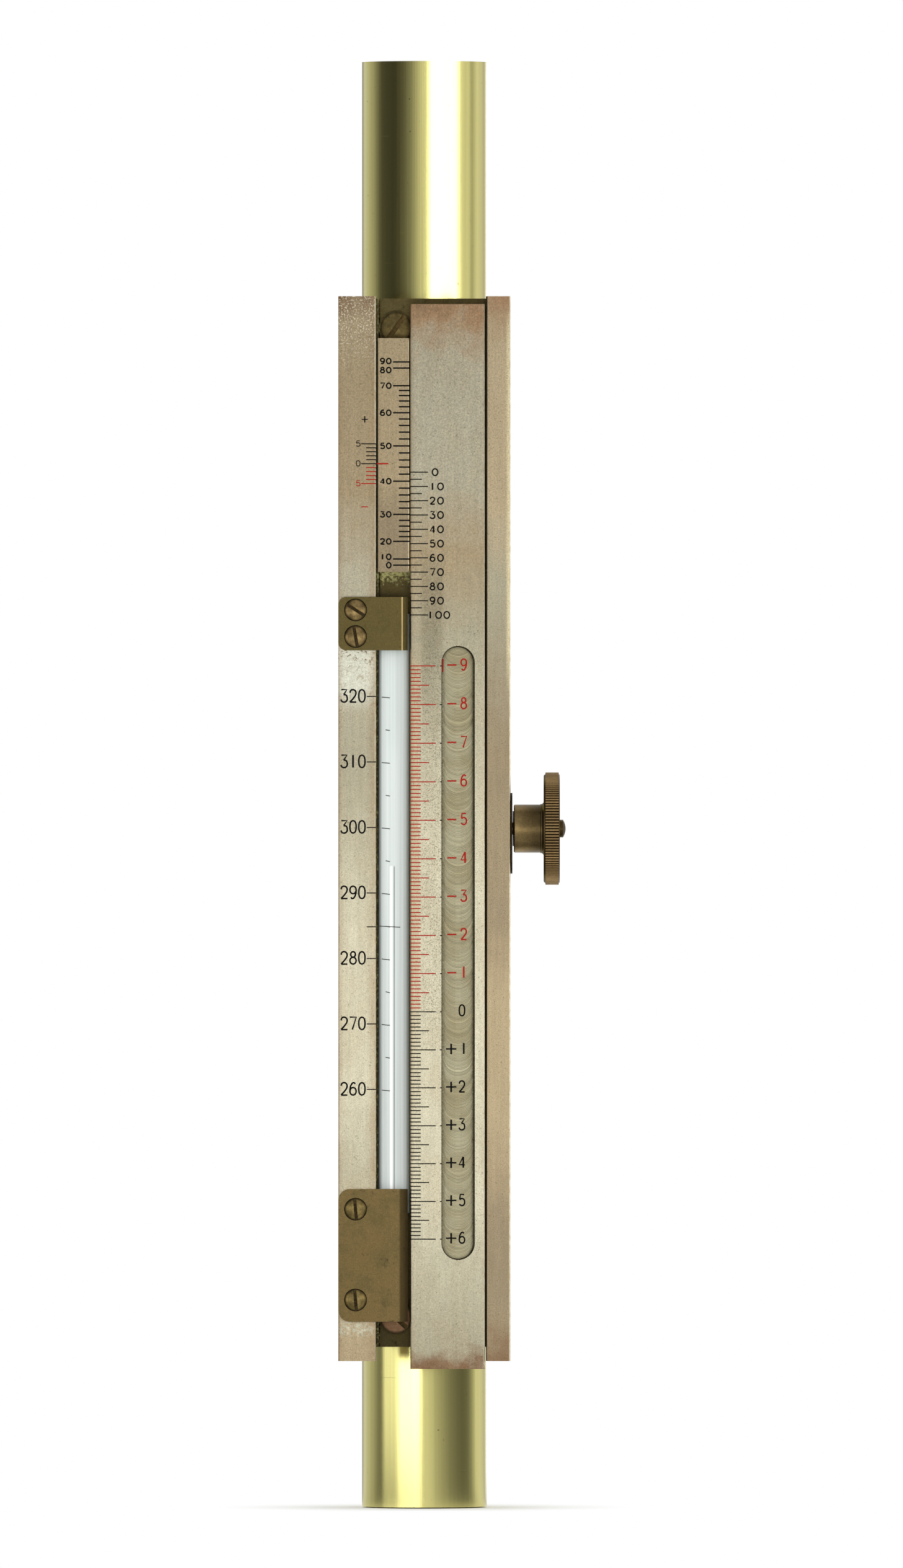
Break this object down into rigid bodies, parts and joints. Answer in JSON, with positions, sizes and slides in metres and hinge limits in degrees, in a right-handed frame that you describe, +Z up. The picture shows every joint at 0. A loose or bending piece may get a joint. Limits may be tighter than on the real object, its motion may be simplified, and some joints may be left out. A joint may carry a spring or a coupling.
{
  "type": "marine barometer correction slide",
  "caption": "Stretch of a marine mercury barometer's brass tube with its correction slide, moved by a rack and a milled knob, and the attached thermometer.",
  "frame": {"origin": "on the brass tube's axis, at the tube's lower end", "axes": "+Z up along the tube, +X to the right as the scales are read, -Y towards the reader"},
  "size_m": [0.0461, 0.0435, 0.2939],
  "materials": {
    "tube_brass": "satin lacquered brass with fine lines along the tube",
    "silvered_brass": "silvered brass, brushed, worn warm grey",
    "aged_brass": "aged olive brown brass",
    "knob_brass": "aged brown brass, turned and milled",
    "screw_brass": "aged brass, turned",
    "gear_brass": "cut brass",
    "steel": "turned steel",
    "dark_steel": "blued steel",
    "glass": "clear polished glass",
    "mercury": "liquid metal",
    "white_enamel": "opal white enamel",
    "cork": "cork and leather packing"
  },
  "bodies": {
    "frame": {"barometer_tube": "tube_brass", "glass_tube": "glass", "mercury_column": "mercury", "lower_packing": "cork", "upper_packing": "cork", "lower_saddle": "aged_brass", "upper_saddle": "aged_brass", "base_plate": "aged_brass", "base_screws": "screw_brass", "left_bar": "silvered_brass", "right_bar": "silvered_brass", "left_bar_screws": "screw_brass", "right_bar_screws": "screw_brass", "bearing_bush": "aged_brass", "bush_screws": "screw_brass", "thermometer_stem": "glass", "thermometer_backing": "white_enamel", "thermometer_mercury": "mercury", "upper_bracket": "aged_brass", "lower_bracket": "aged_brass", "upper_bracket_screws": "screw_brass", "lower_bracket_screws": "screw_brass", "cork_pads": "cork"},
    "slide": {"correction_slide": "silvered_brass", "slide_rack": "gear_brass", "rack_screws": "screw_brass"},
    "spindle": {"pinion": "gear_brass", "pinion_shaft": "steel", "friction_washer": "dark_steel", "milled_knob": "knob_brass", "knob_screw": "knob_brass"},
    "latitude_index": {"latitude_strip": "silvered_brass", "clamp_stud": "silvered_brass", "clamp_washer": "gear_brass", "clamp_nut": "gear_brass"}
  },
  "joints": [
    {"name": "slide_travel", "type": "slide", "parent": "frame", "child": "slide", "axis": [0, 0, 1], "range_m": [-0.0188, 0.0513]},
    {"name": "knob_turn", "type": "hinge", "parent": "frame", "child": "spindle", "pos_m": [0.0182, -0.0194, 0.13795], "axis": [1, 0, 0], "range_deg": [-982, 361]},
    {"name": "index_shift", "type": "slide", "parent": "frame", "child": "latitude_index", "axis": [0, 0, 1], "range_m": [-0.004, 0.004]}
  ],
  "couplings": [
    {"joint": "knob_turn", "follows": "slide_travel", "rad_per_m": -333.33}
  ]
}
